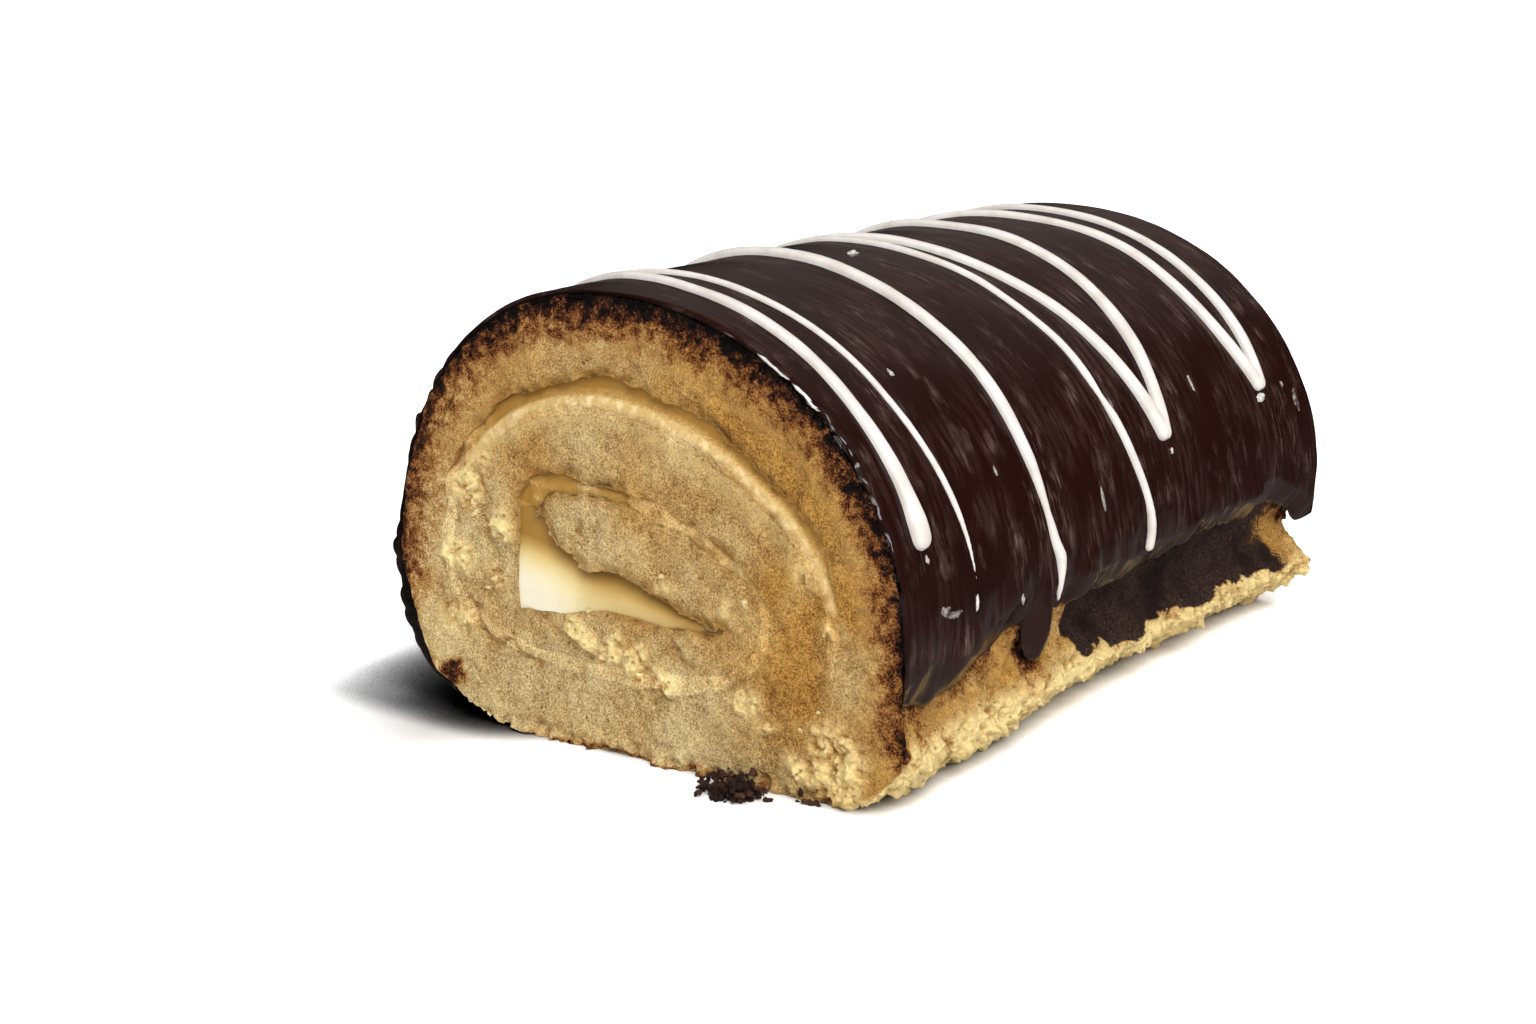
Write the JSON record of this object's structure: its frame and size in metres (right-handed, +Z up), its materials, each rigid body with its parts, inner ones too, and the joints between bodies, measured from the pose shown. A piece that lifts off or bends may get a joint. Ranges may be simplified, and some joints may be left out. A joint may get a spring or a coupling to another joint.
{
  "type": "swiss roll cake",
  "caption": "Cut length of swiss roll cake: rolled sponge round a cream spiral, chocolate coat with drizzled white icing, both ends cut square.",
  "frame": {"origin": "middle of the underside, on the surface that the roll stands on", "axes": "+Z up, +Y along the roll away from the cut face with the brown stain, +X towards the side with the low-hanging chocolate drip, to the right when that cut face is seen"},
  "size_m": [0.092, 0.128, 0.0674],
  "materials": {
    "sponge": "matt open crumb, pale gold inside and toasted brown under the coat",
    "cream": "smooth satin cream, ivory",
    "chocolate": "glossy very dark chocolate coat with soft streaks",
    "icing": "smooth satin warm white icing"
  },
  "bodies": {
    "root": {"sponge": "sponge", "cream": "cream", "chocolate_coat": "chocolate", "icing_strand_1": "icing", "icing_strand_2": "icing", "icing_strand_3": "icing"}
  },
  "joints": []
}
